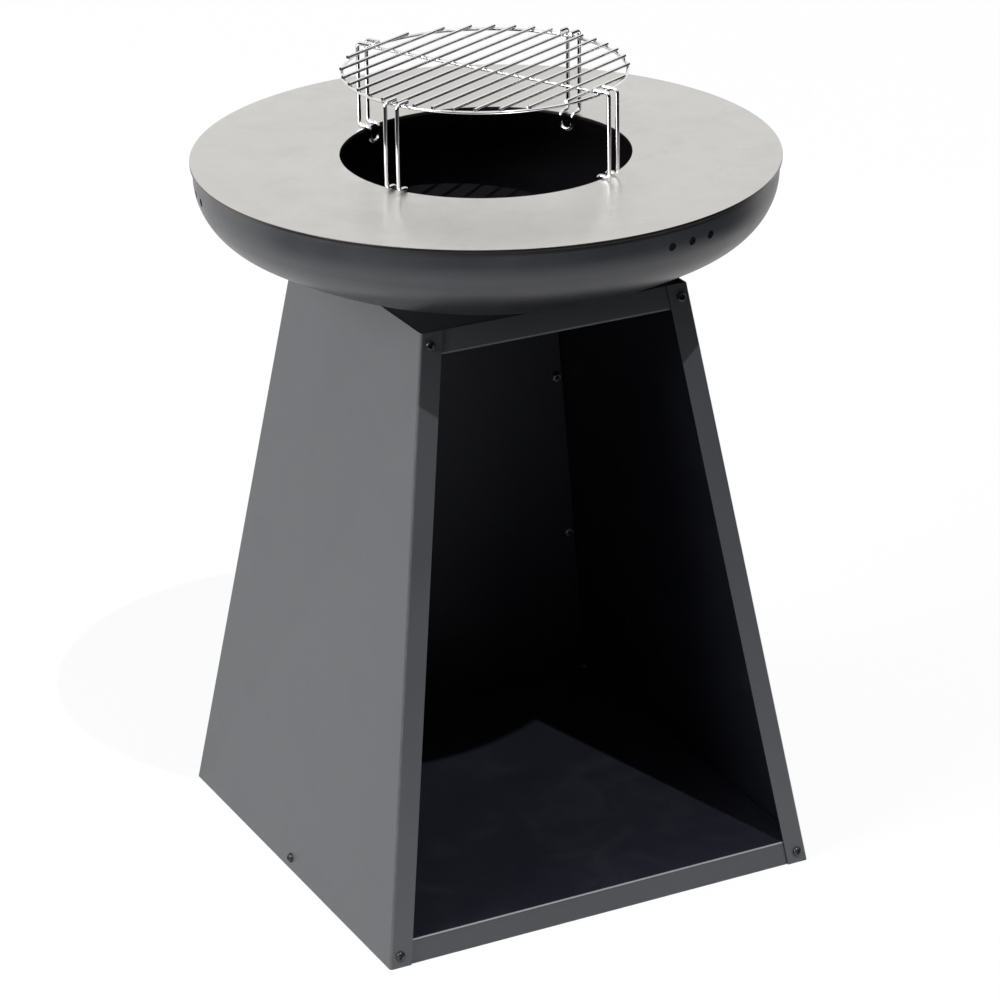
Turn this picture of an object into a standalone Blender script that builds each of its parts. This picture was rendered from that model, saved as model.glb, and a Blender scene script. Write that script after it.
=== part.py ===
# Column barbecue: a four-sided tapered sheet steel stand, open at the front for firewood,
# with a dished fire bowl nested in its open top, a flat ring griddle plate on the bowl's rim
# and a wire cooking grate that stands over the plate's hole on four bent legs.
# Metres, +Z up, origin on the floor under the middle of the bowl, the open front faces -Y.

import math

import bmesh
import bpy
from mathutils import Matrix, Vector

MM = 0.001

# Clearance between pieces that touch
GAP = 0.3 * MM

# Stand: a truncated pyramid of bent sheet
BASE_HALF_BOTTOM = 287.5 * MM
BASE_HALF_TOP = 175.0 * MM
BASE_HEIGHT = 745.0 * MM
SHEET = 2.0 * MM
BEND_INNER_RADIUS = 1.5 * MM
FLANGE_WIDTH = 28.0 * MM
RAIL_HEIGHT = 30.0 * MM
RAIL_RETURN = 12.0 * MM
SHELF_HEIGHT = 30.0 * MM
SHELF_CORNER_NOTCH = 5.0 * MM

# Screws M6 with hexagon nuts, and where they go
SCREW_RADIUS = 3.0 * MM
SCREW_HOLE_RADIUS = 3.3 * MM
SCREW_HEAD_RADIUS = 6.0 * MM
SCREW_HEAD_HEIGHT = 3.8 * MM
SCREW_HEAD_BAND = 1.33 * MM
SCREW_TIP_CHAMFER = 0.6 * MM
SCREW_TAIL = 2.0 * MM
NUT_ACROSS_FLATS = 10.0 * MM
NUT_THICKNESS = 5.0 * MM
SCREW_EDGE_INSET = 12.5 * MM
SCREW_TOP_INSET = 15.5 * MM
SCREW_BOTTOM_HEIGHT = 14.5 * MM
BACK_SCREW_ROWS = 4

# Fire bowl: a dished end with a straight rim band
BOWL_RADIUS = 347.0 * MM
BOWL_SHEET = 2.5 * MM
BOWL_CROWN_RADIUS = 620.0 * MM
BOWL_KNUCKLE_RADIUS = 75.0 * MM
BOWL_BAND_HEIGHT = 13.3 * MM
VENT_RADIUS = 5.0 * MM
VENT_BELOW_RIM = 21.0 * MM
VENT_SPACING_DEGREES = 5.0
VENT_GROUP_DEGREES = (-75.0, 45.0, 165.0)
VENTS_IN_GROUP = 3

# Griddle plate and the tabs under it that keep it centred on the bowl
PLATE_OVERHANG = 3.0 * MM
PLATE_THICKNESS = 4.0 * MM
PLATE_HOLE_RADIUS = 173.0 * MM
PLATE_EDGE_RADIUS = 0.8 * MM
TAB_COUNT = 3
TAB_WIDTH = 30.0 * MM
TAB_THICKNESS = 3.0 * MM
TAB_DEPTH = 15.0 * MM
TAB_CLEARANCE = 1.5 * MM
TAB_EDGE_RADIUS = 0.6 * MM
TAB_TURN_DEGREES = 25.0

# Cooking grate
GRATE_TURN_DEGREES = 27.0
GRATE_RING_RADIUS = 167.5 * MM
GRATE_RING_HEIGHT = 100.0 * MM
RING_WIRE_RADIUS = 2.0 * MM
CROSS_WIRE_RADIUS = 2.0 * MM
BAR_WIRE_RADIUS = 1.5 * MM
BAR_COUNT = 15
BAR_SPACING = 22.5 * MM
BAR_OVERHANG = 2.5 * MM
LEG_WIRE_RADIUS = 2.5 * MM
LEG_PAIR_SPACING = 17.0 * MM
LEG_BEND_RADIUS = 5.0 * MM
LEG_LOOP_DROP = 20.0 * MM
LEG_HOLE_CLEARANCE = 4.0 * MM
LEG_FOOT_LENGTH = 5.5 * MM
LEG_TOP_REACH = 5.0 * MM

# How finely round things are divided
BOWL_STEPS = 72
PLATE_STEPS = 88
RING_STEPS = 72
SCREW_STEPS = 12
HOLE_SIDES = 12
ARC_STEPS = 3
KNUCKLE_STEPS = 6
CROWN_STEPS = 5
WIRE_BEVEL_STEPS = 2
SEAM_MERGE_DISTANCE = 0.01 * MM
SMOOTH_BELOW_DEGREES = 25.0

# Values worked out from the sizes above
TAPER = (BASE_HALF_BOTTOM - BASE_HALF_TOP) / BASE_HEIGHT
TILT = math.atan(TAPER)
WALL = SHEET / math.cos(TILT)
LAYER = WALL + GAP
BEND_CLEAR_LAYER = LAYER + BEND_INNER_RADIUS
PLATE_RADIUS = BOWL_RADIUS + PLATE_OVERHANG


def half_width(height):
    """Half the width of the stand's outer faces at a height."""
    return BASE_HALF_BOTTOM - TAPER * height


def crown_drop(radius):
    """How far the bowl's outer crown rises from its lowest point to a radius."""
    return BOWL_CROWN_RADIUS - math.sqrt(BOWL_CROWN_RADIUS ** 2 - radius ** 2)


# The bowl's crown sits on the inner top edges of the stand. The side panels carry it at the
# seat radius, and the rail and back panel, one sheet further in, are cut lower by the curve.
SEAT_RADIUS = BASE_HALF_TOP - WALL
INNER_SEAT_RADIUS = SEAT_RADIUS - LAYER
SEAT_STEP = crown_drop(SEAT_RADIUS) - crown_drop(INNER_SEAT_RADIUS)
BOWL_LOW_POINT = GAP - crown_drop(SEAT_RADIUS)
RAIL_TOP = BASE_HEIGHT - SEAT_STEP
RAIL_BOTTOM = RAIL_TOP - RAIL_HEIGHT

# The bowl's outer profile: a crown about the axis, a tighter knuckle, and an upright band
CROWN_CENTRE = BOWL_LOW_POINT + BOWL_CROWN_RADIUS
KNUCKLE_CENTRE_RADIUS = BOWL_RADIUS - BOWL_KNUCKLE_RADIUS
KNUCKLE_ANGLE = math.asin(KNUCKLE_CENTRE_RADIUS / (BOWL_CROWN_RADIUS - BOWL_KNUCKLE_RADIUS))
KNUCKLE_CENTRE_HEIGHT = CROWN_CENTRE - (BOWL_CROWN_RADIUS - BOWL_KNUCKLE_RADIUS) * math.cos(KNUCKLE_ANGLE)
BOWL_RIM_HEIGHT = KNUCKLE_CENTRE_HEIGHT + BOWL_BAND_HEIGHT


# Scene and collections

for old in list(bpy.data.objects):
    bpy.data.objects.remove(old, do_unlink=True)

parts = bpy.data.collections.new("column_barbecue")
cutters = bpy.data.collections.new("cutters")
bpy.context.scene.collection.children.link(parts)
bpy.context.scene.collection.children.link(cutters)


def new_material(name, color, roughness, metallic):
    material = bpy.data.materials.new(name)
    material.use_nodes = True
    shader = material.node_tree.nodes["Principled BSDF"]
    shader.inputs["Base Color"].default_value = (*color, 1.0)
    shader.inputs["Roughness"].default_value = roughness
    shader.inputs["Metallic"].default_value = metallic
    return material


STAND_PAINT = ((0.10, 0.103, 0.108), 0.5, 0.3)
BOWL_PAINT = ((0.075, 0.077, 0.08), 0.55, 0.3)
PLATE_STEEL = ((0.52, 0.51, 0.49), 0.4, 0.9)
WIRE_CHROME = ((0.72, 0.72, 0.73), 0.12, 1.0)
BLACK_STEEL = ((0.02, 0.02, 0.022), 0.35, 0.8)
RAW_STEEL = ((0.3, 0.3, 0.3), 0.45, 0.9)


def add_part(name, data, look, parent=None):
    part = bpy.data.objects.new(name, data)
    parts.objects.link(part)
    part.data.materials.append(new_material(name + "_finish", *look))
    part.parent = parent
    return part


def add_cutter(name, mesh):
    cutter = bpy.data.objects.new(name, mesh)
    cutters.objects.link(cutter)
    cutter.hide_render = True
    cutter.display_type = "WIRE"
    return cutter


def cut(part, cutter, name):
    modifier = part.modifiers.new(name, "BOOLEAN")
    modifier.operation = "DIFFERENCE"
    modifier.solver = "EXACT"
    modifier.object = cutter


def add_frame(name, height, parent):
    """An empty on the vertical axis that the lifting pieces ride on."""
    frame = bpy.data.objects.new(name, None)
    parts.objects.link(frame)
    frame.parent = parent
    frame.location = (0.0, 0.0, height)
    return frame


def mesh_from(name, build):
    mesh = bpy.data.meshes.new(name)
    shape = bmesh.new()
    build(shape)
    bmesh.ops.recalc_face_normals(shape, faces=shape.faces)
    shape.to_mesh(mesh)
    shape.free()
    return mesh


def loft(shape, low_ring, high_ring):
    """A solid between two flat rings with the same number of points."""
    low = [shape.verts.new(point) for point in low_ring]
    high = [shape.verts.new(point) for point in high_ring]
    shape.faces.new(reversed(low))
    shape.faces.new(high)
    count = len(low)
    for i in range(count):
        j = (i + 1) % count
        shape.faces.new((low[i], low[j], high[j], high[i]))
    return low, high


def round_corners(points, radius, steps=ARC_STEPS):
    """The points of an open path with each inner corner turned into an arc."""
    path = [Vector(points[0])]
    for before, corner, after in zip(points, points[1:], points[2:]):
        corner = Vector(corner)
        back = (Vector(before) - corner).normalized()
        ahead = (Vector(after) - corner).normalized()
        half_angle = back.angle(ahead) / 2
        reach = radius / math.tan(half_angle)
        centre = corner + (back + ahead).normalized() * (radius / math.sin(half_angle))
        start = corner + back * reach - centre
        end = corner + ahead * reach - centre
        sweep = start.angle(end)
        for step in range(steps + 1):
            t = step / steps
            blend = (start * math.sin((1 - t) * sweep) + end * math.sin(t * sweep)) / math.sin(sweep)
            path.append(centre + blend)
    path.append(Vector(points[-1]))
    return path


def bent_strip(outer, inner):
    """The outline of a bent sheet seen on its edge, from its outer and inner corners."""
    outer_arc = round_corners(outer, BEND_INNER_RADIUS + WALL)
    inner_arc = round_corners(inner, BEND_INNER_RADIUS)
    return outer_arc + inner_arc[::-1]


# Screw places: a point on a sloping outer face, its outward normal and the sheets it holds

class ScrewPlace:
    def __init__(self, name, side, across, height, sheets):
        turn = {"front": -90, "right": 0, "back": 90, "left": 180}[side]
        turn = math.radians(turn)
        outward = Vector((math.cos(turn), math.sin(turn), 0.0))
        along = Vector((-math.sin(turn), math.cos(turn), 0.0))
        self.name = name
        self.point = outward * half_width(height) + along * across + Vector((0.0, 0.0, height))
        self.normal = outward * math.cos(TILT) + Vector((0.0, 0.0, math.sin(TILT)))
        self.grip = sheets * (SHEET + GAP)

    def matrix(self, depth=0.0):
        turn = Vector((0.0, 0.0, 1.0)).rotation_difference(self.normal)
        return Matrix.LocRotScale(self.point - self.normal * depth, turn, None)


TOP_SCREW_HEIGHT = BASE_HEIGHT - SCREW_TOP_INSET


def edge_across(height, sign):
    return sign * (half_width(height) - SCREW_EDGE_INSET)


def screw_places():
    places = []
    for word, sign in (("left", -1), ("right", 1)):
        for level, height in (("bottom", SCREW_BOTTOM_HEIGHT), ("top", TOP_SCREW_HEIGHT)):
            across = edge_across(height, sign)
            places.append(ScrewPlace(f"front_{level}_{word}", "front", across, height, 2))
        places.append(ScrewPlace(f"{word}_side", word, 0.0, SCREW_BOTTOM_HEIGHT, 2))
        for row in range(BACK_SCREW_ROWS):
            share = row / (BACK_SCREW_ROWS - 1)
            height = SCREW_BOTTOM_HEIGHT + share * (TOP_SCREW_HEIGHT - SCREW_BOTTOM_HEIGHT)
            sheets = 3 if row == 0 else 2
            across = edge_across(height, -sign)
            places.append(ScrewPlace(f"back_{row + 1}_{word}", "back", across, height, sheets))
    return places


SCREW_PLACES = screw_places()
DRILL_LENGTH = 60.0 * MM


def build_drills(shape):
    for place in SCREW_PLACES:
        bmesh.ops.create_cone(
            shape, cap_ends=True, segments=HOLE_SIDES, radius1=SCREW_HOLE_RADIUS,
            radius2=SCREW_HOLE_RADIUS, depth=DRILL_LENGTH, matrix=place.matrix())


screw_drills = add_cutter("screw_drills", mesh_from("screw_drills", build_drills))


# Side panels: one tapered sheet each, with a flange bent inwards at the front and the back

def side_panel_outline(height, sign):
    half = half_width(height)
    tip = half - FLANGE_WIDTH
    outer = [(tip, -half, 0.0), (half, -half, 0.0), (half, half, 0.0), (tip, half, 0.0)]
    inside = half - WALL
    inner = [(tip, -inside, 0.0), (inside, -inside, 0.0), (inside, inside, 0.0), (tip, inside, 0.0)]
    return [(sign * p.x, p.y, height) for p in bent_strip(outer, inner)]


def make_side_panel(name, sign):
    def build(shape):
        loft(shape, side_panel_outline(0.0, sign), side_panel_outline(BASE_HEIGHT, sign))
    panel = add_part(name, mesh_from(name, build), STAND_PAINT)
    cut(panel, screw_drills, "screw_holes")


make_side_panel("left_side_panel", -1)
make_side_panel("right_side_panel", 1)


# Back panel: a flat tapered sheet behind the bowl, inside the rear flanges

def back_panel_outline(height):
    side = half_width(height) - BEND_CLEAR_LAYER
    outside = half_width(height) - LAYER
    inside = outside - WALL
    return [(-side, inside, height), (side, inside, height), (side, outside, height), (-side, outside, height)]


def build_back_panel(shape):
    loft(shape, back_panel_outline(0.0), back_panel_outline(RAIL_TOP))


back_panel = add_part("back_panel", mesh_from("back_panel", build_back_panel), STAND_PAINT)
cut(back_panel, screw_drills, "screw_holes")


# Top rail: a strip behind the front flanges with its lower edge returned inwards

def rail_ends(y, z):
    side = half_width(z) - BEND_CLEAR_LAYER
    return (-side, y, z), (side, y, z)


def build_top_rail(shape):
    def face_y(z, depth):
        return -(half_width(z) - LAYER - depth)
    return_end = face_y(RAIL_BOTTOM, RAIL_RETURN)
    return_top = RAIL_BOTTOM + SHEET
    outer = [(0, face_y(RAIL_TOP, 0.0), RAIL_TOP), (0, face_y(RAIL_BOTTOM, 0.0), RAIL_BOTTOM),
             (0, return_end, RAIL_BOTTOM)]
    inner = [(0, face_y(RAIL_TOP, WALL), RAIL_TOP), (0, face_y(return_top, WALL), return_top),
             (0, return_end, return_top)]
    section = bent_strip(outer, inner)
    ends = [rail_ends(p.y, p.z) for p in section]
    loft(shape, [end[0] for end in ends], [end[1] for end in ends])


top_rail = add_part("top_rail", mesh_from("top_rail", build_top_rail), STAND_PAINT)
cut(top_rail, screw_drills, "screw_holes")


# Floor shelf: a tray turned upside down, its lips bent down inside the panels

def shelf_ring(height, inset):
    half = half_width(height) - inset
    side = half - LAYER
    front = -side
    back = half - 2 * LAYER
    return [(-side, front, height), (side, front, height), (side, back, height), (-side, back, height)]


def build_shelf_block(shape):
    low, high = loft(shape, shelf_ring(0.0, 0.0), shelf_ring(SHELF_HEIGHT, 0.0))
    top_edges = [edge for edge in shape.edges if edge.verts[0] in high and edge.verts[1] in high]
    bmesh.ops.bevel(
        shape, geom=top_edges, offset=BEND_INNER_RADIUS + SHEET, segments=ARC_STEPS, affect="EDGES", profile=0.5)


def build_shelf_hollow(shape):
    margin = SHELF_HEIGHT
    low, high = loft(shape, shelf_ring(-margin, WALL), shelf_ring(SHELF_HEIGHT - SHEET, WALL))
    top_edges = [edge for edge in shape.edges if edge.verts[0] in high and edge.verts[1] in high]
    bmesh.ops.bevel(
        shape, geom=top_edges, offset=BEND_INNER_RADIUS, segments=ARC_STEPS, affect="EDGES", profile=0.5)


def build_shelf_notches(shape):
    """Corner reliefs, where the lips of the tray part and clear the bends of the panels."""
    reach = SHELF_HEIGHT
    for x_sign in (-1, 1):
        for y_sign in (-1, 1):
            def corner(height):
                ring = shelf_ring(height, SHELF_CORNER_NOTCH)
                x = x_sign * ring[1][0]
                y = ring[2][1] if y_sign > 0 else ring[0][1]
                far_x = x + x_sign * reach
                far_y = y + y_sign * reach
                return [(x, y, height), (far_x, y, height), (far_x, far_y, height), (x, far_y, height)]
            loft(shape, corner(-SHELF_HEIGHT), corner(2 * SHELF_HEIGHT))


floor_shelf = add_part("floor_shelf", mesh_from("floor_shelf", build_shelf_block), STAND_PAINT)
cut(floor_shelf, add_cutter("shelf_hollow", mesh_from("shelf_hollow", build_shelf_hollow)), "hollow")
cut(floor_shelf, add_cutter("shelf_notches", mesh_from("shelf_notches", build_shelf_notches)), "notches")
cut(floor_shelf, screw_drills, "screw_holes")


# Turned pieces: a profile in the XZ plane, spun about Z

def turned_mesh(name, profile, closed):
    mesh = bpy.data.meshes.new(name)
    count = len(profile)
    edges = [(i, i + 1) for i in range(count - 1)]
    if closed:
        edges.append((count - 1, 0))
    mesh.from_pydata([(x, 0.0, z) for x, z in profile], edges, [])
    return mesh


def spin(part, steps):
    modifier = part.modifiers.new("turned", "SCREW")
    modifier.axis = "Z"
    modifier.angle = 2 * math.pi
    modifier.steps = steps
    modifier.render_steps = steps
    modifier.use_merge_vertices = True
    modifier.merge_threshold = SEAM_MERGE_DISTANCE
    modifier.use_smooth_shade = True


def arc(centre, radius, start, end, steps):
    """Points on an arc of a profile, at angles measured from straight down."""
    points = []
    for step in range(steps + 1):
        angle = start + (end - start) * step / steps
        points.append((centre[0] + radius * math.sin(angle), centre[1] - radius * math.cos(angle)))
    return points


# Screws and nuts

def screw_profile(grip):
    head = SCREW_HEAD_RADIUS
    top = GAP + SCREW_HEAD_HEIGHT
    brow = GAP + SCREW_HEAD_BAND
    tip = -(grip + GAP + NUT_THICKNESS + SCREW_TAIL)
    chamfer = SCREW_TIP_CHAMFER
    dome = []
    for step in range(ARC_STEPS + 1):
        angle = math.pi / 2 * step / ARC_STEPS
        dome.append((head * math.sin(angle), brow + (top - brow) * math.cos(angle)))
    return dome + [
        (head, GAP), (SCREW_RADIUS, GAP), (SCREW_RADIUS, tip + chamfer), (SCREW_RADIUS - chamfer, tip), (0.0, tip)]


def nut_curve(name):
    curve = bpy.data.curves.new(name, "CURVE")
    curve.dimensions = "2D"
    curve.fill_mode = "BOTH"
    curve.extrude = NUT_THICKNESS / 2
    corner_radius = NUT_ACROSS_FLATS / math.sqrt(3)
    for sides, radius in ((6, corner_radius), (HOLE_SIDES, SCREW_HOLE_RADIUS)):
        spline = curve.splines.new("POLY")
        spline.points.add(sides - 1)
        for i, point in enumerate(spline.points):
            angle = 2 * math.pi * i / sides
            point.co = (radius * math.cos(angle), radius * math.sin(angle), 0.0, 1.0)
        spline.use_cyclic_u = True
    return curve


def make_fastener(place):
    name = place.name + "_screw"
    screw = add_part(name, turned_mesh(name, screw_profile(place.grip), False), BLACK_STEEL)
    screw.matrix_world = place.matrix()
    spin(screw, SCREW_STEPS)
    name = place.name + "_nut"
    nut = add_part(name, nut_curve(name), RAW_STEEL)
    nut.matrix_world = place.matrix(place.grip + GAP + NUT_THICKNESS / 2)


for place in SCREW_PLACES:
    make_fastener(place)


# Fire bowl: its frame lies at the top of the stand, where it rests

bowl_frame = add_frame("fire_bowl_frame", BASE_HEIGHT, None)


def bowl_profile():
    knuckle = arc((KNUCKLE_CENTRE_RADIUS, KNUCKLE_CENTRE_HEIGHT), BOWL_KNUCKLE_RADIUS,
                  math.pi / 2, KNUCKLE_ANGLE, KNUCKLE_STEPS)
    crown = arc((0.0, CROWN_CENTRE), BOWL_CROWN_RADIUS, KNUCKLE_ANGLE, 0.0, CROWN_STEPS)
    return [(BOWL_RADIUS, BOWL_RIM_HEIGHT)] + knuckle + crown[1:]


def build_vent_drills(shape):
    height = BOWL_RIM_HEIGHT - VENT_BELOW_RIM
    for group in VENT_GROUP_DEGREES:
        for i in range(VENTS_IN_GROUP):
            offset = (i - (VENTS_IN_GROUP - 1) / 2) * VENT_SPACING_DEGREES
            turn = Matrix.Rotation(math.radians(group + offset), 4, "Z")
            lay = Matrix.Translation((BOWL_RADIUS, 0.0, height)) @ Matrix.Rotation(math.pi / 2, 4, "Y")
            bmesh.ops.create_cone(
                shape, cap_ends=True, segments=HOLE_SIDES, radius1=VENT_RADIUS, radius2=VENT_RADIUS,
                depth=DRILL_LENGTH, matrix=turn @ lay)


fire_bowl = add_part("fire_bowl", turned_mesh("fire_bowl", bowl_profile(), False), BOWL_PAINT, bowl_frame)
spin(fire_bowl, BOWL_STEPS)
bowl_wall = fire_bowl.modifiers.new("wall", "SOLIDIFY")
bowl_wall.thickness = BOWL_SHEET
bowl_wall.offset = -1.0
vent_drills = add_cutter("vent_drills", mesh_from("vent_drills", build_vent_drills))
vent_drills.parent = bowl_frame
cut(fire_bowl, vent_drills, "vents")


# Griddle plate: its frame lies at its underside, just above the bowl's rim

griddle_frame = add_frame("griddle_frame", BOWL_RIM_HEIGHT + GAP, bowl_frame)


def plate_profile():
    edge = PLATE_EDGE_RADIUS
    corners = (
        (PLATE_RADIUS - edge, PLATE_THICKNESS - edge, math.pi, math.pi / 2),
        (PLATE_RADIUS - edge, edge, math.pi / 2, 0.0),
        (PLATE_HOLE_RADIUS + edge, edge, 0.0, -math.pi / 2),
        (PLATE_HOLE_RADIUS + edge, PLATE_THICKNESS - edge, -math.pi / 2, -math.pi))
    profile = []
    for x, z, start, end in corners:
        profile += arc((x, z), edge, start, end, 1)
    return profile


griddle_plate = add_part(
    "griddle_plate", turned_mesh("griddle_plate", plate_profile(), True), PLATE_STEEL, griddle_frame)
spin(griddle_plate, PLATE_STEPS)


def make_tab(number):
    reach = BOWL_RADIUS - BOWL_SHEET - TAB_CLEARANCE - TAB_THICKNESS / 2
    angle = 2 * math.pi * number / TAB_COUNT + math.radians(TAB_TURN_DEGREES)

    def build(shape):
        bmesh.ops.create_cube(shape, size=1.0, matrix=Matrix.Diagonal((TAB_THICKNESS, TAB_WIDTH, TAB_DEPTH, 1.0)))
    name = f"plate_tab_{number + 1}"
    tab = add_part(name, mesh_from(name, build), RAW_STEEL, griddle_frame)
    tab.location = (reach * math.cos(angle), reach * math.sin(angle), -(GAP + TAB_DEPTH / 2))
    tab.rotation_euler = (0.0, 0.0, angle)
    rounding = tab.modifiers.new("edges", "BEVEL")
    rounding.width = TAB_EDGE_RADIUS
    rounding.segments = 2


for number in range(TAB_COUNT):
    make_tab(number)


# Cooking grate: its frame lies on the plate's top face, turned so that its bars run along X

grate_frame = add_frame("cooking_grate_frame", PLATE_THICKNESS, griddle_frame)
grate_frame.rotation_euler = (0.0, 0.0, math.radians(GRATE_TURN_DEGREES))


def wire(name, points, radius, cyclic=False):
    curve = bpy.data.curves.new(name, "CURVE")
    curve.dimensions = "3D"
    curve.bevel_depth = radius
    curve.bevel_resolution = WIRE_BEVEL_STEPS
    curve.use_fill_caps = True
    spline = curve.splines.new("POLY")
    spline.points.add(len(points) - 1)
    for point, place in zip(spline.points, points):
        point.co = (*place, 1.0)
    spline.use_cyclic_u = cyclic
    spline.use_smooth = True
    return add_part(name, curve, WIRE_CHROME, grate_frame)


def circle_points(radius, height, steps):
    turns = [2 * math.pi * i / steps for i in range(steps)]
    return [(radius * math.cos(turn), radius * math.sin(turn), height) for turn in turns]


wire("grate_ring", circle_points(GRATE_RING_RADIUS, GRATE_RING_HEIGHT, RING_STEPS), RING_WIRE_RADIUS, True)

CROSS_REACH = (GRATE_RING_RADIUS - RING_WIRE_RADIUS) * math.cos(math.pi / RING_STEPS) - GAP
CROSS_HEIGHT = GRATE_RING_HEIGHT + RING_WIRE_RADIUS - CROSS_WIRE_RADIUS
wire("grate_cross_wire", [(0.0, -CROSS_REACH, CROSS_HEIGHT), (0.0, CROSS_REACH, CROSS_HEIGHT)], CROSS_WIRE_RADIUS)

BAR_HEIGHT = GRATE_RING_HEIGHT + RING_WIRE_RADIUS + GAP + BAR_WIRE_RADIUS
for number in range(BAR_COUNT):
    across = (number - (BAR_COUNT - 1) / 2) * BAR_SPACING
    reach = math.sqrt(GRATE_RING_RADIUS ** 2 - across ** 2) + BAR_OVERHANG
    wire(f"grate_bar_{number + 1:02d}", [(-reach, across, BAR_HEIGHT), (reach, across, BAR_HEIGHT)], BAR_WIRE_RADIUS)


def leg_path(turn):
    """One wire: from on top of the ring, down outside it, over the hole's edge, and back in a loop."""
    stand_height = LEG_WIRE_RADIUS + GAP
    top = GRATE_RING_HEIGHT + RING_WIRE_RADIUS + GAP + LEG_WIRE_RADIUS
    loop_radius = PLATE_HOLE_RADIUS - LEG_WIRE_RADIUS - LEG_HOLE_CLEARANCE
    leg_radius = loop_radius + 2 * LEG_BEND_RADIUS + LEG_FOOT_LENGTH
    top_end = GRATE_RING_RADIUS - LEG_TOP_REACH
    side = LEG_PAIR_SPACING / 2
    loop = stand_height - LEG_LOOP_DROP
    half = [(top_end, top), (leg_radius, top), (leg_radius, stand_height), (loop_radius, stand_height),
            (loop_radius, loop)]
    corners = [(r, side, z) for r, z in half] + [(r, -side, z) for r, z in reversed(half)]
    rotation = Matrix.Rotation(turn, 3, "Z")
    return [rotation @ point for point in round_corners(corners, LEG_BEND_RADIUS)]


for word, turn in (("right", 0), ("back", 90), ("left", 180), ("front", 270)):
    wire(f"grate_leg_{word}", leg_path(math.radians(turn)), LEG_WIRE_RADIUS)


# Shading: curved faces smooth, folds and rims sharp

def smooth_round_pieces():
    bpy.context.view_layer.update()
    for part in parts.objects:
        if part.type == "MESH" and not any(m.type == "SCREW" for m in part.modifiers):
            part.data.shade_smooth()
            part.data.set_sharp_from_angle(angle=math.radians(SMOOTH_BELOW_DEGREES))


smooth_round_pieces()
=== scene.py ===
import math

import bmesh
import bpy
from mathutils import Matrix, Vector


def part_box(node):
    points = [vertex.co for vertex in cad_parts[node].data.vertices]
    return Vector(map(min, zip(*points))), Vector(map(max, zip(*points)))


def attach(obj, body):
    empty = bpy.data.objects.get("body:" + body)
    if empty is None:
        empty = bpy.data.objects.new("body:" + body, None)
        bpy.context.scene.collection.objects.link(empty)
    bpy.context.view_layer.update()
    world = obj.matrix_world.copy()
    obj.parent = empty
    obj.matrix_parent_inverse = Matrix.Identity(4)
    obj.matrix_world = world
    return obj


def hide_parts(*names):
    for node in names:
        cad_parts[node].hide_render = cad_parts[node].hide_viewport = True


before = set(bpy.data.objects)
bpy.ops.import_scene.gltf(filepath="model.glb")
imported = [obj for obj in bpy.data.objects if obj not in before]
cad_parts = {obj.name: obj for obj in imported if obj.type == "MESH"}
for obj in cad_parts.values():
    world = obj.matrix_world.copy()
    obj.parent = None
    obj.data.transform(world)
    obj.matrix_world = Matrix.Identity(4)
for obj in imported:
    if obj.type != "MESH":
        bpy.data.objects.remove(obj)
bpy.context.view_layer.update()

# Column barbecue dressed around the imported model. Metres, +Z up, the open front faces -Y.
mm = 0.001


# Small helpers for nodes

def addNode(tree, kind, inputs=None, **settings):
    node = tree.nodes.new(kind)
    for key, value in settings.items():
        setattr(node, key, value)
    for key, value in (inputs or {}).items():
        if isinstance(value, bpy.types.NodeSocket):
            tree.links.new(value, node.inputs[key])
        else:
            node.inputs[key].default_value = value
    return node


def nodeOut(tree, kind, inputs=None, **settings):
    # The same, when only the node's first output is wanted
    return addNode(tree, kind, inputs, **settings).outputs[0]


def calc(tree, operation, *values):
    return nodeOut(tree, "ShaderNodeMath", dict(enumerate(values)), operation=operation)


def times(tree, first, second):
    return calc(tree, "MULTIPLY", first, second)


def minus(tree, first, second):
    return calc(tree, "SUBTRACT", first, second)


def vectorCalc(tree, operation, *values):
    return nodeOut(tree, "ShaderNodeVectorMath", dict(enumerate(values)), operation=operation)


def vectorOf(tree, x, y, z):
    return nodeOut(tree, "ShaderNodeCombineXYZ", {0: x, 1: y, 2: z})


socketWords = {float: "Float", int: "Int", tuple: "Vector"}


def newTree(name, kind, inputs, outputs, outputWord="Float"):
    # An input is given by its value, or by the word for its kind where each use sets it
    tree = bpy.data.node_groups.new(name, kind)
    sockets = {}
    for label, value in inputs.items():
        unset = isinstance(value, str)
        word = value if unset else socketWords[type(value)]
        socket = tree.interface.new_socket(name=label, in_out="INPUT", socket_type="NodeSocket" + word)
        if not unset:
            socket.default_value = value
        sockets[label] = socket.identifier
    for label in outputs:
        tree.interface.new_socket(name=label, in_out="OUTPUT", socket_type="NodeSocket" + outputWord)
    entry = tree.nodes.new("NodeGroupInput")
    leave = tree.nodes.new("NodeGroupOutput")
    return tree, sockets, entry.outputs, leave.inputs


def newShadeTree(name, outputs, inputs):
    return newTree(name, "ShaderNodeTree", {"Position": "Vector", **inputs}, outputs)


def newMeshTree(name, inputs):
    # A modifier's tree also takes the geometry and a finish, and gives geometry
    inputs = {"Geometry": "Geometry", **inputs, "Finish": "Material"}
    return newTree(name, "GeometryNodeTree", inputs, ["Geometry"], "Geometry")


def noiseOf(tree, position, size, detail, **more):
    # Noise with lumps of about the given size
    inputs = {"Vector": position, "Scale": calc(tree, "DIVIDE", 1.0, size), "Detail": detail, **more}
    return nodeOut(tree, "ShaderNodeTexNoise", inputs)


def remap(tree, value, fromLow, fromHigh, low=0.0, high=1.0, kind="LINEAR"):
    inputs = {0: value, 1: fromLow, 2: fromHigh, 3: low, 4: high}
    return nodeOut(tree, "ShaderNodeMapRange", inputs, interpolation_type=kind)


def copyOnto(tree, points, instance, **more):
    inputs = {"Points": points, "Instance": instance, **more}
    return nodeOut(tree, "GeometryNodeInstanceOnPoints", inputs)


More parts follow.
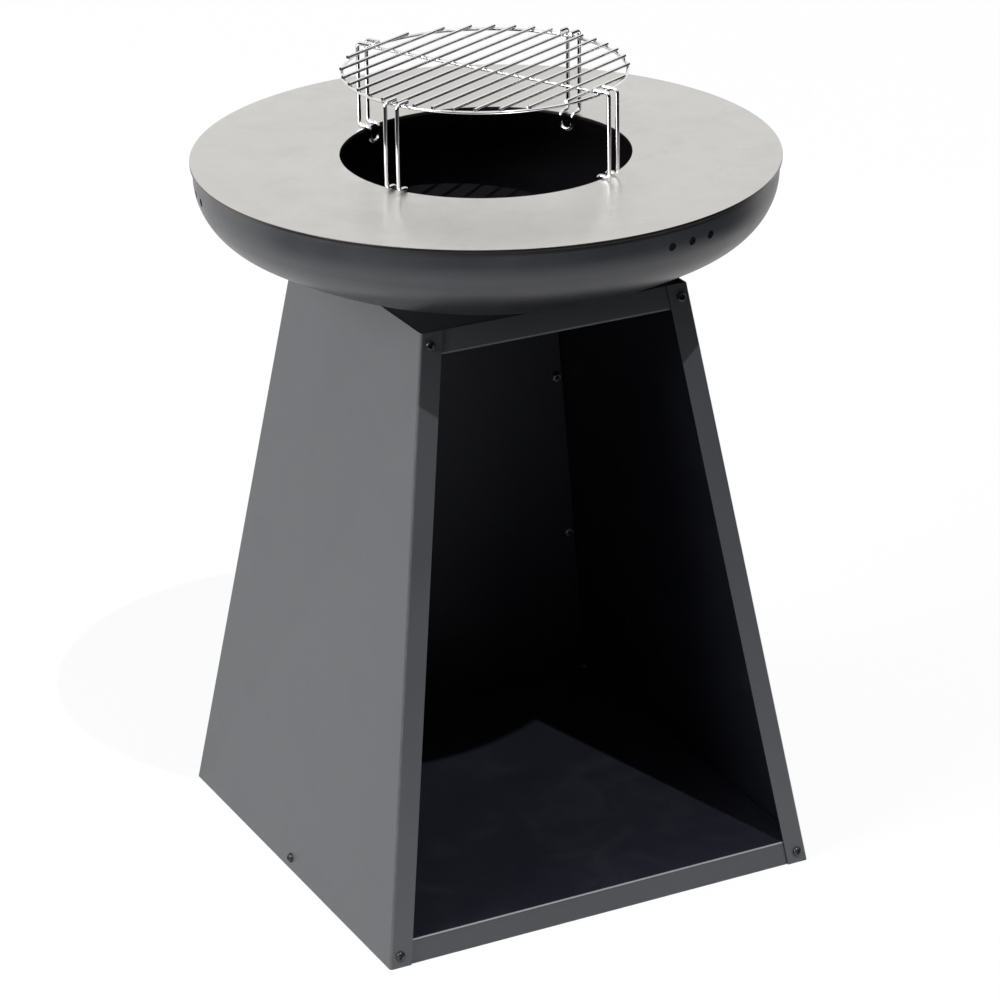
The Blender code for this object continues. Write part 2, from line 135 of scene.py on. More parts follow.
def endTree(tree, geometry, given, result):
    # The end of every modifier's tree: real geometry that carries its finish
    real = nodeOut(tree, "GeometryNodeRealizeInstances", {0: geometry})
    done = nodeOut(tree, "GeometryNodeSetMaterial", {"Geometry": real, "Material": given["Finish"]})
    tree.links.new(done, result[0])


# Shader groups shared by the finishes, and the noise levels between which their marks fade in

levels = {"wear": (0.42, 0.68), "markLow": 0.9, "markHigh": 0.72,
          "scratch": (0.68, 0.76), "scratchArea": (0.5, 0.65)}


def makeGrainGroup():
    tree, _, given, result = newShadeTree("fineGrain", ["Grain", "Patches"], {
        "Grain size": "Float", "Patch size": "Float", "Stretch": "Vector"})
    stretched = vectorCalc(tree, "MULTIPLY", given["Position"], given["Stretch"])
    grain = noiseOf(tree, stretched, given["Grain size"], 2.0, Roughness=0.55)
    patches = noiseOf(tree, given["Position"], given["Patch size"], 4.0, Roughness=0.55)
    tree.links.new(grain, result["Grain"])
    tree.links.new(patches, result["Patches"])
    return tree


def makeTurnedGroup():
    # Rings left by spinning, followed along the wall by radius plus height
    tree, _, given, result = newShadeTree("turnedRings", ["Rings", "Bands"], {
        "Ring spacing": "Float", "Waver": 0.6 * mm})
    split = addNode(tree, "ShaderNodeSeparateXYZ", {0: given["Position"]}).outputs
    flat = vectorCalc(tree, "MULTIPLY", given["Position"], (1.0, 1.0, 0.0))
    radius = addNode(tree, "ShaderNodeVectorMath", {0: flat}, operation="LENGTH").outputs["Value"]
    wander = nodeOut(tree, "ShaderNodeTexNoise", {"Vector": given["Position"], "Scale": 9.0, "Detail": 1.0})
    along = calc(tree, "ADD", radius, split[2])
    along = calc(tree, "ADD", along, times(tree, wander, given["Waver"]))
    for label, factor, detail in (("Rings", 1.0, 3.0), ("Bands", 6.0, 1.0)):
        step = times(tree, given["Ring spacing"], factor)
        inputs = {"W": calc(tree, "DIVIDE", along, step), "Scale": 1.0, "Detail": detail}
        noise = nodeOut(tree, "ShaderNodeTexNoise", inputs, noise_dimensions="1D")
        tree.links.new(noise, result[label])
    return tree


def makeFoldWearGroup():
    # A thin broken line on the stand's folds and bottom edge, from the taper of its four faces
    tree, _, given, result = newShadeTree("foldWear", ["Wear"], {
        "Half bottom": 287.5 * mm, "Taper": 0.151, "Width": "Float", "Break size": 12 * mm})
    x, y, z = addNode(tree, "ShaderNodeSeparateXYZ", {0: given["Position"]}).outputs[:3]
    half = minus(tree, given["Half bottom"], times(tree, given["Taper"], z))
    fromSide = minus(tree, half, calc(tree, "ABSOLUTE", x))
    fromFront = minus(tree, half, calc(tree, "ABSOLUTE", y))
    fromFold = calc(tree, "MAXIMUM", fromSide, fromFront)
    nearest = calc(tree, "MINIMUM", fromFold, z)
    line = remap(tree, nearest, 0.0, given["Width"], 1.0, 0.0, "SMOOTHSTEP")
    broken = remap(tree, noiseOf(tree, given["Position"], given["Break size"], 3.0), *levels["wear"])
    tree.links.new(times(tree, line, broken), result["Wear"])
    return tree


def makeSmudgeGroup():
    # Soft patches where hands and cloths have been
    tree, _, given, result = newShadeTree("handledMarks", ["Marks"], {
        "Mark size": "Float", "Sharpness": "Float"})
    noise = noiseOf(tree, given["Position"], given["Mark size"], 5.0, Roughness=0.6, Distortion=0.7)
    low = times(tree, given["Sharpness"], levels["markLow"])
    soft = remap(tree, noise, low, levels["markHigh"], kind="SMOOTHSTEP")
    tree.links.new(soft, result["Marks"])
    return tree


def makeScratchGroup():
    # Long fine scratches along one direction, broken up by a wide patchiness
    tree, _, given, result = newShadeTree("fineScratches", ["Scratches"], {
        "Turn": "Float", "Length": 60 * mm, "Width": 1.1 * mm, "Patch size": 80 * mm})
    turned = nodeOut(tree, "ShaderNodeVectorRotate", {
        "Vector": given["Position"], "Angle": given["Turn"]}, rotation_type="Z_AXIS")
    long = calc(tree, "DIVIDE", 1.0, given["Length"])
    thin = calc(tree, "DIVIDE", 1.0, given["Width"])
    stretch = vectorOf(tree, long, thin, long)
    lines = noiseOf(tree, vectorCalc(tree, "MULTIPLY", turned, stretch), 1.0, 0.0)
    patches = noiseOf(tree, turned, given["Patch size"], 1.0)
    sharp = remap(tree, lines, *levels["scratch"])
    where = remap(tree, patches, *levels["scratchArea"])
    tree.links.new(times(tree, sharp, where), result["Scratches"])
    return tree


grainGroup = makeGrainGroup()
turnedGroup = makeTurnedGroup()
foldWearGroup = makeFoldWearGroup()
smudgeGroup = makeSmudgeGroup()
scratchGroup = makeScratchGroup()
print("shader groups made")


# Finishes

def nodeMaterial(name):
    material = bpy.data.materials.new(name)
    material.use_nodes = True
    return material, material.node_tree, material.node_tree.nodes["Principled BSDF"]


def newFinish(name, look):
    material, tree, shader = nodeMaterial(name)
    shader.inputs["Metallic"].default_value = look["metallic"]
    shader.inputs["IOR"].default_value = look.get("ior", 1.5)
    position = tree.nodes.new("ShaderNodeTexCoord").outputs["Object"]
    return material, tree, shader, position


def useGroup(tree, group, position, **values):
    node = addNode(tree, "ShaderNodeGroup", node_tree=group)
    tree.links.new(position, node.inputs["Position"])
    for label, value in values.items():
        node.inputs[label.replace("_", " ")].default_value = value
    return node.outputs


def blendColour(tree, mask, first, second):
    # From the first to the second where the mask is 1; either is a colour or a socket
    first, second = (one if isinstance(one, bpy.types.NodeSocket) else (*one, 1.0) for one in (first, second))
    return addNode(tree, "ShaderNodeMix", {0: mask, 6: first, 7: second}, data_type="RGBA").outputs[2]


def spread(tree, value, low, high):
    # Noise seldom leaves 0.3 to 0.7, so that much of it fills the range
    return remap(tree, value, 0.3, 0.7, low, high)


def faceMark(tree, name):
    return addNode(tree, "ShaderNodeAttribute", attribute_name=name).outputs["Fac"]


def baseCoat(tree, position, look):
    # What paint and steel share: fine grain, soft marks, and a colour and roughness that follow wide patches
    grain = useGroup(
        tree, grainGroup, position, Grain_size=look["grainSize"], Patch_size=look["patchSize"],
        Stretch=look.get("stretch", (1.0, 1.0, 1.0)))
    sharpness = look.get("markSharpness", 0.5)
    marks = useGroup(tree, smudgeGroup, position, Mark_size=look["markSize"], Sharpness=sharpness)["Marks"]
    colour = blendColour(tree, spread(tree, grain["Patches"], 0.0, 1.0), look["colour"], look["patchColour"])
    return grain, marks, colour, spread(tree, grain["Patches"], *look["roughness"])


def endFinish(tree, shader, look, colour, rough, height):
    bump = nodeOut(tree, "ShaderNodeBump", {"Height": height, "Distance": look["grainDepth"]})
    for socket, label in ((colour, "Base Color"), (rough, "Roughness"), (bump, "Normal")):
        tree.links.new(socket, shader.inputs[label])


def makePaint(name, look):
    material, tree, shader, position = newFinish(name, look)
    grain, marks, colour, rough = baseCoat(tree, position, look)
    height = grain["Grain"]
    if "wornColour" in look:
        wear = useGroup(tree, foldWearGroup, position, Width=look["wearWidth"])["Wear"]
        worn = times(tree, wear, look["wearAmount"])
        colour = blendColour(tree, worn, colour, look["wornColour"])
        rough = minus(tree, rough, times(tree, worn, look["wornShine"]))
    if "ringSpacing" in look:
        rings = useGroup(tree, turnedGroup, position, Ring_spacing=look["ringSpacing"])
        colour = blendColour(tree, spread(tree, rings["Bands"], 0.0, 1.0), colour, look["ringColour"])
        for source, depth in ((rings["Rings"], "ringDepth"), (rings["Bands"], "bandDepth"),
                              (grain["Patches"], "dentDepth")):
            height = calc(tree, "ADD", times(tree, source, look[depth]), height)
    # Faces that look in are darkened and tinted blue: painted shade, with a little painted sky light, for the
    # insides of the stand and bowl
    inside = faceMark(tree, "inside")
    paintedInsideShade = blendColour(tree, marks, look["insideShadeColour"], look["insideShadeMarks"])
    colour = blendColour(tree, inside, colour, paintedInsideShade)
    # A painted highlight along the shelf's front fold
    if "foldHighlightColour" in look:
        colour = blendColour(tree, faceMark(tree, "foldHighlight"), colour, look["foldHighlightColour"])
    rough = calc(tree, "ADD", rough, times(tree, inside, look["insideRoughness"]))
    rough = calc(tree, "ADD", rough, times(tree, marks, look["markRoughness"]))
    endFinish(tree, shader, look, colour, rough, height)
    return material


def makeSteel(name, look):
    material, tree, shader, position = newFinish(name, look)
    grain, marks, colour, rough = baseCoat(tree, position, look)
    colour = blendColour(tree, times(tree, marks, look["markAmount"]), colour, look["markColour"])
    for turn in look.get("scratchTurns", ()):
        scratches = useGroup(tree, scratchGroup, position, Turn=turn)["Scratches"]
        shown = times(tree, scratches, look["scratchAmount"])
        colour = blendColour(tree, shown, colour, look["scratchColour"])
    # The plate's side faces are darkened: painted shade for the dark line under its rim
    if "edgeShadeColour" in look:
        colour = blendColour(tree, faceMark(tree, "edgeShade"), colour, look["edgeShadeColour"])
    rough = calc(tree, "ADD", rough, times(tree, marks, look["markRoughness"]))
    endFinish(tree, shader, look, colour, rough, grain["Grain"])
    return material


standPaint = makePaint("standPaint", {
    "colour": (0.0513, 0.0545, 0.0597), "patchColour": (0.0573, 0.0605, 0.0657), "metallic": 0.0,
    "roughness": (0.36, 0.42), "grainSize": 1.6 * mm, "grainDepth": 0.02 * mm, "patchSize": 110 * mm,
    "markSize": 70 * mm, "markRoughness": 0.03, "markSharpness": 0.52,
    "wornColour": (0.2, 0.205, 0.21), "wearWidth": 2.2 * mm, "wearAmount": 0.45, "wornShine": 0.1,
    # The fold colour is a painted highlight on the shelf's front fold
    "foldHighlightColour": (0.2, 0.2, 0.206), "insideRoughness": 0.1,
    # The inside colours are painted shade, tinted blue as by sky light, for the shaded inside of the stand
    "insideShadeColour": (0.0056, 0.0062, 0.0115), "insideShadeMarks": (0.0082, 0.009, 0.0145)})
bowlPaint = makePaint("bowlPaint", {
    "colour": (0.0232, 0.0242, 0.0292), "patchColour": (0.027, 0.0282, 0.0332), "metallic": 0.0, "ior": 1.6,
    "roughness": (0.34, 0.4), "grainSize": 1.2 * mm, "grainDepth": 0.015 * mm, "patchSize": 60 * mm,
    "markSize": 50 * mm, "markRoughness": 0.04, "ringSpacing": 5 * mm, "ringColour": (0.0328, 0.0342, 0.0392),
    "markSharpness": 0.52, "ringDepth": 1.2, "bandDepth": 20.0, "dentDepth": 24.0, "insideRoughness": -0.04,
    # The inside colours are painted shade for the dark inside of the bowl
    "insideShadeColour": (0.0062, 0.0055, 0.0072), "insideShadeMarks": (0.0085, 0.0078, 0.0098)})
plateSteel = makeSteel("plateSteel", {
    "colour": (0.578, 0.566, 0.541), "patchColour": (0.558, 0.546, 0.521), "metallic": 1.0,
    "roughness": (0.3, 0.36), "grainSize": 1.0 * mm, "grainDepth": 0.008 * mm, "patchSize": 70 * mm,
    "stretch": (0.08, 1.0, 1.0), "markSize": 45 * mm, "markAmount": 0.35, "markColour": (0.50, 0.49, 0.468),
    # The edge colour is painted shade on the plate's side faces
    "markRoughness": 0.05, "edgeShadeColour": (0.1, 0.098, 0.095),
    "scratchColour": (0.72, 0.71, 0.685), "scratchAmount": 0.3, "scratchTurns": (0.9, 2.3)})
grateChrome = makeSteel("grateChrome", {
    "colour": (0.80, 0.80, 0.81), "patchColour": (0.76, 0.76, 0.775), "metallic": 1.0,
    "roughness": (0.05, 0.1), "grainSize": 1.5 * mm, "grainDepth": 0.004 * mm, "patchSize": 12 * mm,
    "markSize": 10 * mm, "markAmount": 0.25, "markColour": (0.6, 0.59, 0.58), "markRoughness": 0.06})
screwBlack = makeSteel("screwBlack", {
    "colour": (0.03, 0.03, 0.033), "patchColour": (0.045, 0.045, 0.048), "metallic": 0.6,
    "roughness": (0.2, 0.3), "grainSize": 0.8 * mm, "grainDepth": 0.01 * mm, "patchSize": 4 * mm,
    "markSize": 3 * mm, "markAmount": 0.3, "markColour": (0.1, 0.1, 0.1), "markRoughness": 0.1})
nutZinc = makeSteel("nutZinc", {
    "colour": (0.34, 0.34, 0.345), "patchColour": (0.28, 0.28, 0.29), "metallic": 1.0,
    "roughness": (0.32, 0.45), "grainSize": 0.9 * mm, "grainDepth": 0.01 * mm, "patchSize": 5 * mm,
    "markSize": 4 * mm, "markAmount": 0.4, "markColour": (0.45, 0.45, 0.44), "markRoughness": 0.08})
print("finishes made")


# Small helpers for meshes

def newObject(name, data):
    item = bpy.data.objects.new(name, data)
    bpy.context.scene.collection.objects.link(item)
    return item


def plainCopy(name, item, place=None):
    # The evaluated shape as a plain mesh under a new name; the working object goes
    graph = bpy.context.evaluated_depsgraph_get()
    mesh = bpy.data.meshes.new_from_object(
        item.evaluated_get(graph), preserve_all_data_layers=True, depsgraph=graph)
    bpy.data.objects.remove(item)
    mesh.name = name
    if place:
        mesh.transform(place)
    return newObject(name, mesh)


def grow(name, item, meshTree, place=None, **values):
    # Runs a mesh tree on the item and keeps what it makes, as a plain mesh under the new name
    tree, sockets = meshTree
    modifier = item.modifiers.new(tree.name, "NODES")
    modifier.node_group = tree
    for label, value in values.items():
        modifier[sockets[label.replace("_", " ")]] = value
    return plainCopy(name, item, place)


def setOff(item, body, slot, *nodes):
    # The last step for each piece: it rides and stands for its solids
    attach(item, body)
    if nodes:
        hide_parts(*nodes)
    print("piece", item.name, len(item.data.polygons), "faces")


def smoothUnder(mesh, degrees):
    mesh.shade_smooth()
    mesh.set_sharp_from_angle(angle=math.radians(degrees))


def markFaces(mesh, name, chosen):
    # A value for the finish to read: 1 on the faces that the rule picks, 0 on the rest, or the share it gives
    marks = mesh.attributes.new(name, "FLOAT", "FACE")
    for face, mark in zip(mesh.polygons, marks.data):
        mark.value = float(chosen(face))


def facesIn(face):
    # Faces that look inwards or up rather than outwards or down; they take painted shade
    return face.normal.dot(face.center.xy.to_3d().normalized()) < face.normal.z


def facesInTray(face):
    # The tray's lip at the front takes part of the inner painted shade, so its face is painted a little
    # darker than the panels
    return stand["lipShade"] if face.normal.y < -0.9 else facesIn(face)


def facesUpFront(face):
    # The front fold of the shelf, which takes a painted highlight where the key light glints on it
    return face.normal.y < -0.3 and 0.5 < face.normal.z < 0.9


def facesSideways(face):
    return abs(face.normal.z) < 0.9


def meshFrom(shape, name):
    mesh = bpy.data.meshes.new(name)
    shape.to_mesh(mesh)
    shape.free()
    return mesh


def closedMesh(shape, name):
    bmesh.ops.recalc_face_normals(shape, faces=shape.faces)
    return meshFrom(shape, name)


def plainMesh(name, points, faces=()):
    mesh = bpy.data.meshes.new(name)
    mesh.from_pydata(points, [], faces)
    return mesh


def evenTurns(steps):
    return [2 * math.pi * i / steps for i in range(steps)]


def joinRings(shape, rings, loop):
    # Faces between neighbouring rings of points; a ring of one point is a pole
    steps = max(len(ring) for ring in rings)
    pairs = list(zip(rings, rings[1:]))
    if loop:
        pairs.append((rings[-1], rings[0]))
    for low, high in pairs:
        for i in range(steps):
            j = (i + 1) % steps
            corners = low[i % len(low)], low[j % len(low)], high[j % len(high)], high[i % len(high)]
            shape.faces.new(list(dict.fromkeys(corners)))


def turnedMesh(name, profile, steps):
    # A profile of (radius, height) turned about Z; a point on the axis becomes a pole
    shape = bmesh.new()
    rings = []
    for radius, height in profile:
        turns = evenTurns(steps) if radius > 0.0 else [0.0]
        rings.append([shape.verts.new((radius * math.cos(t), radius * math.sin(t), height)) for t in turns])
    joinRings(shape, rings, loop=len(rings[0]) > 1)
    return closedMesh(shape, name)


def arc(centre, radius, start, end, steps):
    # Angles in degrees from straight down, counted outwards
    points = []
    for i in range(steps + 1):
        angle = math.radians(start + (end - start) * i / steps)
        points.append((centre[0] + radius * math.sin(angle), centre[1] - radius * math.cos(angle)))
    return points


# Stand: the folded sheets, with their cut edges rounded over by the paint

stand = {
    "halfBottom": 287.5 * mm, "halfTop": 175 * mm, "height": 745 * mm, "sheet": 2 * mm, "clearance": 0.3 * mm,
    "mergeWithin": 0.01 * mm, "flatWithin": 0.5, "edgeAngle": 40.0, "edgeSteps": 3, "normalWeight": 100,
    "lipShade": 0.2,
    "sheets": (
        ("left_side_panel", "stand_left_panel", 0.35 * mm),
        ("right_side_panel", "stand_right_panel", 0.35 * mm),
        ("back_panel", "stand_back_panel", 0.35 * mm),
        ("top_rail", "stand_top_rail", 0.35 * mm),
        ("floor_shelf", "stand_floor_shelf", 0.7 * mm))}
taper = (stand["halfBottom"] - stand["halfTop"]) / stand["height"]
tilt = math.atan(taper)


def dressSheet(node, name, edgeRound):
    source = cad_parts[node].data
    shape = bmesh.new()
    corners = [shape.verts.new(vertex.co) for vertex in source.vertices]
    for face in source.polygons:
        shape.faces.new([corners[i] for i in face.vertices])
    bmesh.ops.remove_doubles(shape, verts=shape.verts, dist=stand["mergeWithin"])
    flat = math.radians(stand["flatWithin"])
    bmesh.ops.dissolve_limit(shape, angle_limit=flat, verts=shape.verts, edges=shape.edges)
    mesh = meshFrom(shape, name)
    mesh.shade_smooth()
    mesh.materials.append(standPaint)
    rough = newObject(name + "Rough", mesh)
    edges = rough.modifiers.new("edges", "BEVEL")
    edges.width = edgeRound
    edges.segments = stand["edgeSteps"]
    edges.limit_method = "ANGLE"
    edges.angle_limit = math.radians(stand["edgeAngle"])
    rough.modifiers.new("flats", "WEIGHTED_NORMAL").weight = stand["normalWeight"]
    sheet = plainCopy(name, rough)
    tray = node == "floor_shelf"
    # The faces inside take painted shade, and on the tray part of it reaches the lip
    markFaces(sheet.data, "inside", facesInTray if tray else facesIn)
    if tray:
        # The shelf's front fold takes a painted highlight
        markFaces(sheet.data, "foldHighlight", facesUpFront)
    return sheet


for node, name, edgeRound in stand["sheets"]:
    setOff(dressSheet(node, name, edgeRound), "stand", "stand_paint", node)


# Fasteners: one template each, set on points that face outwards

fasteners = {
    "headRadius": 6.0 * mm, "headHeight": 4.0 * mm, "shankRadius": 3.0 * mm, "rootRadius": 2.55 * mm,
    "pitch": 1.0 * mm, "threadTurns": 4, "tail": 2.0 * mm, "seat": 0.05 * mm, "headSteps": 24,
    "nutAcross": 10.0 * mm, "nutHeight": 5.0 * mm, "nutFace": 0.96, "nutChamfer": 30.0, "nutSteps": 36,
    "boreGap": 0.02 * mm, "nutGap": 0.1 * mm,
    "dome": ((0.0, 1.0), (0.35, 0.985), (0.62, 0.93), (0.8, 0.82), (0.92, 0.64), (0.985, 0.4), (1.0, 0.2),
             (0.975, 0.04)),
    "headUnder": 0.94, "screwSmooth": 38, "nutSmooth": 25,
    "recessReach": 3.5 * mm, "recessWidth": 0.85 * mm, "recessDepth": 2.9 * mm, "recessTaper": 0.42,
    "recessCore": 1.4, "recessAbove": 1 * mm, "recessStraight": 0.5 * mm,
    "edgeInset": 12.5 * mm, "topInset": 15.5 * mm, "bottomHeight": 14.5 * mm, "backRows": 4, "seed": 7}


def halfWidth(height):
    return stand["halfBottom"] - taper * height


def fastenerPlaces():
    # Each fastener's name, the side it faces, its place across that, its height and how many sheets it holds
    topHeight = stand["height"] - fasteners["topInset"]
    bottom = fasteners["bottomHeight"]
    places = []
    for word, sign in (("left", -1), ("right", 1)):
        for level, height in (("bottom", bottom), ("top", topHeight)):
            across = sign * (halfWidth(height) - fasteners["edgeInset"])
            places.append((f"front_{level}_{word}", (0, -1), across, height, 2))
        places.append((f"{word}_side", (sign, 0), 0.0, bottom, 2))
        for row in range(fasteners["backRows"]):
            height = bottom + (topHeight - bottom) * row / (fasteners["backRows"] - 1)
            across = sign * (halfWidth(height) - fasteners["edgeInset"])
            places.append((f"back_{row + 1}_{word}", (0, 1), across, height, 3 if row == 0 else 2))
    return places


def makePlacer():
    # Sets a template on every point, its Z along the point's facing, turned at random
    tree, sockets, given, result = newMeshTree("placeFacing", {
        "Template": "Object", "Sink": "Float", "Turn": math.pi, "Seed": fasteners["seed"]})
    facing = nodeOut(tree, "GeometryNodeInputNamedAttribute", {"Name": "facing"}, data_type="FLOAT_VECTOR")
    back = times(tree, given["Sink"], -1.0)
    sunk = nodeOut(tree, "ShaderNodeVectorMath", {0: facing, "Scale": back}, operation="SCALE")
    moved = nodeOut(tree, "GeometryNodeSetPosition", {"Geometry": given["Geometry"], "Offset": sunk})
    upright = nodeOut(tree, "FunctionNodeAlignRotationToVector", {"Vector": facing}, axis="Z")
    span = {2: 0.0, 3: given["Turn"], 8: given["Seed"]}
    turn = addNode(tree, "FunctionNodeRandomValue", span, data_type="FLOAT").outputs[1]
    about = {"Axis": (0.0, 0.0, 1.0), "Angle": turn}
    spun = nodeOut(tree, "FunctionNodeAxisAngleToRotation", about)
    rotation = nodeOut(tree, "FunctionNodeRotateRotation", {0: upright, 1: spun}, rotation_space="LOCAL")
    template = addNode(tree, "GeometryNodeObjectInfo", {"Object": given["Template"]}).outputs["Geometry"]
    endTree(tree, copyOnto(tree, moved, template, Rotation=rotation), given, result)
    return tree, sockets


placer = makePlacer()


def facingPoints(name, points):
    mesh = plainMesh(name, [point for point, _ in points])
    facing = mesh.attributes.new("facing", "FLOAT_VECTOR", "POINT")
    for i, (_, normal) in enumerate(points):
        facing.data[i].vector = normal
    return newObject(name, mesh)


def placeCopies(name, template, points, finish, sink=0.0):
    spots = facingPoints(name + "Points", points)
    return grow(name, spots, placer, Template=template, Sink=sink, Finish=finish)


def makeRecess():
    # The cross that the driver fits, tapering towards its bottom
    size = fasteners
    reach, width = size["recessReach"], size["recessWidth"]
    core = size["recessCore"] * width
    arm = [(reach, -width), (reach, width), (core, core)]
    outline = [(x * c - y * s, x * s + y * c) for c, s in ((1, 0), (0, 1), (-1, 0), (0, -1)) for x, y in arm]
    top = size["headHeight"]
    slices = ((top + size["recessAbove"], 1.0), (top - size["recessStraight"], 1.0),
              (top - size["recessDepth"], size["recessTaper"]))
    cross = bmesh.new()
    rims = [[cross.verts.new((x * share, y * share, height)) for x, y in outline] for height, share in slices]
    joinRings(cross, rims, loop=False)
    cross.faces.new(rims[0])
    cross.faces.new(rims[-1][::-1])
    return newObject("recess", closedMesh(cross, "recess"))


def makeScrewTemplate(sheets):
    size = fasteners
    head, top, shank, pitch = size["headRadius"], size["headHeight"], size["shankRadius"], size["pitch"]
    grip = sheets * (stand["sheet"] + stand["clearance"]) + stand["clearance"]
    tip = -(grip + size["nutHeight"] + size["tail"])
    profile = [(across * head, high * top) for across, high in size["dome"]]
    profile += [(size["headUnder"] * head, size["seat"]), (shank, size["seat"])]
    for turn in range(size["threadTurns"]):
        crest = tip + (size["threadTurns"] + 0.5 - turn) * pitch
        profile += [(shank, crest), (size["rootRadius"], crest - 0.5 * pitch)]
    profile += [(size["rootRadius"], tip), (0.0, tip)]
    screw = newObject("screwRough", turnedMesh("screwRough", profile, size["headSteps"]))
    recess = makeRecess()
    slotCut = screw.modifiers.new("recess", "BOOLEAN")
    slotCut.operation = "DIFFERENCE"
    slotCut.solver = "EXACT"
    slotCut.object = recess
    template = plainCopy(f"screwTemplate{sheets}", screw)
    bpy.data.objects.remove(recess)
    smoothUnder(template.data, size["screwSmooth"])
    return template


def makeNutTemplate():
    # A hexagon with both faces chamfered round, and a bore that fits the thread
    half, height = fasteners["nutAcross"] / 2, fasteners["nutHeight"]
    face, bore = fasteners["nutFace"] * half, fasteners["shankRadius"] + fasteners["boreGap"]
    slope, sixth = math.tan(math.radians(fasteners["nutChamfer"])), math.pi / 3
    shape = bmesh.new()
    columns = []
    for t in evenTurns(fasteners["nutSteps"]):
        corner = half / math.cos((t + sixth / 2) % sixth - sixth / 2)
        drop = (corner - face) * slope
        section = ((bore, 0.0), (face, 0.0), (corner, -drop),
                   (corner, drop - height), (face, -height), (bore, -height))
        columns.append([shape.verts.new((r * math.cos(t), r * math.sin(t), z)) for r, z in section])
    joinRings(shape, list(zip(*columns)), loop=True)
    mesh = closedMesh(shape, "nutTemplate")
    smoothUnder(mesh, fasteners["nutSmooth"])
    return newObject("nutTemplate", mesh)


def makeFasteners():
    placed = []
    for label, (outX, outY), across, height, sheets in fastenerPlaces():
        half = halfWidth(height)
        point = Vector((outX * half + abs(outY) * across, outY * half + abs(outX) * across, height))
        normal = Vector((outX * math.cos(tilt), outY * math.cos(tilt), math.sin(tilt)))
        placed.append((label, sheets, point, normal))
    nutTemplate = makeNutTemplate()
    for sheets, word in ((2, ""), (3, "_long")):
        chosen = [p for p in placed if p[1] == sheets]
        points = [(point, normal) for _, _, point, normal in chosen]
        template = makeScrewTemplate(sheets)
        screws = placeCopies("stand_screws" + word, template, points, screwBlack)
        setOff(screws, "stand", "screw_black", *[label + "_screw" for label, *_ in chosen])
        grip = sheets * (stand["sheet"] + stand["clearance"]) + fasteners["nutGap"]
        nuts = placeCopies("stand_nuts" + word, nutTemplate, points, nutZinc, sink=grip)
        setOff(nuts, "stand", "nut_zinc", *[label + "_nut" for label, *_ in chosen])
        bpy.data.objects.remove(template)
    bpy.data.objects.remove(nutTemplate)


makeFasteners()


# Spot welds that show through the paint where the shelf's lip is tacked to the panels

spotWelds = {"radius": 2.6 * mm, "rise": 0.22 * mm, "sink": 0.1 * mm, "height": 33 * mm, "inset": 13 * mm,
             "sideFromFront": 30 * mm, "steps": 20, "smooth": 60,
             "dome": ((0.0, 1.0), (0.5, 0.86), (0.82, 0.4))}


def makeSpotWelds():
    size = spotWelds
    radius, rise, sink = size["radius"], size["rise"], size["sink"]
    profile = [(across * radius, high * rise) for across, high in size["dome"]]
    profile += [(radius, -sink), (0.0, -sink)]
    template = newObject("weldTemplate", turnedMesh("weldTemplate", profile, size["steps"]))
    smoothUnder(template.data, size["smooth"])
    half = halfWidth(size["height"])
    points = []
    for sign in (-1, 1):
        front = Vector((0.0, -math.cos(tilt), math.sin(tilt)))
        side = Vector((sign * math.cos(tilt), 0.0, math.sin(tilt)))
        points.append((Vector((sign * (half - size["inset"]), -half, size["height"])), front))
        for end in (-1, 1):
            points.append((Vector((sign * half, end * (half - size["sideFromFront"]), size["height"])), side))
    welds = placeCopies("stand_spot_welds", template, points, standPaint)
    bpy.data.objects.remove(template)
    setOff(welds, "stand", "stand_paint")


makeSpotWelds()
print("stand done")


# Fire bowl: spun profile with a rolled-smooth rim, and its vents cut by rule

bowlLow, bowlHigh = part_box("fire_bowl")
bowl = {
    "radius": 347 * mm, "wall": 2.5 * mm, "crownRadius": 620 * mm, "knuckleRadius": 75 * mm,
    "rimRound": 0.8 * mm, "rimDrop": 4 * mm, "rimSteps": 3, "crownSteps": 26, "knuckleSteps": 18,
    "ventRadius": 5 * mm, "ventDrop": 21 * mm, "ventTurn": 5.0, "ventFirst": -75.0, "ventSides": 28,
    "ventGroups": 3, "ventsEach": 3, "punchLength": 40 * mm, "steps": 192, "smooth": 35}


def bowlProfile():
    # Outside and inside alike: a crown arc, a knuckle arc, a short upright and half of the rim's round
    crown, knuckle, radius = bowl["crownRadius"], bowl["knuckleRadius"], bowl["radius"]
    crownCentre = (0.0, bowlLow.z + crown)
    lean = math.asin((radius - knuckle) / (crown - knuckle))
    knuckleCentre = (radius - knuckle, crownCentre[1] - (crown - knuckle) * math.cos(lean))
    lean = math.degrees(lean)
    soft = bowl["rimRound"]
    sides = []
    for inset, out in ((0.0, 1), (bowl["wall"], -1)):
        side = arc(crownCentre, crown - inset, 0.0, lean, bowl["crownSteps"])
        side += arc(knuckleCentre, knuckle - inset, lean, 90.0, bowl["knuckleSteps"])[1:]
        side.append((radius - inset, bowlHigh.z - bowl["rimDrop"]))
        rimCentre = (radius - inset - out * soft, bowlHigh.z - soft)
        side += arc(rimCentre, soft, out * 90.0, out * 180.0, bowl["rimSteps"])
        sides.append(side)
    return sides[0] + sides[1][::-1]


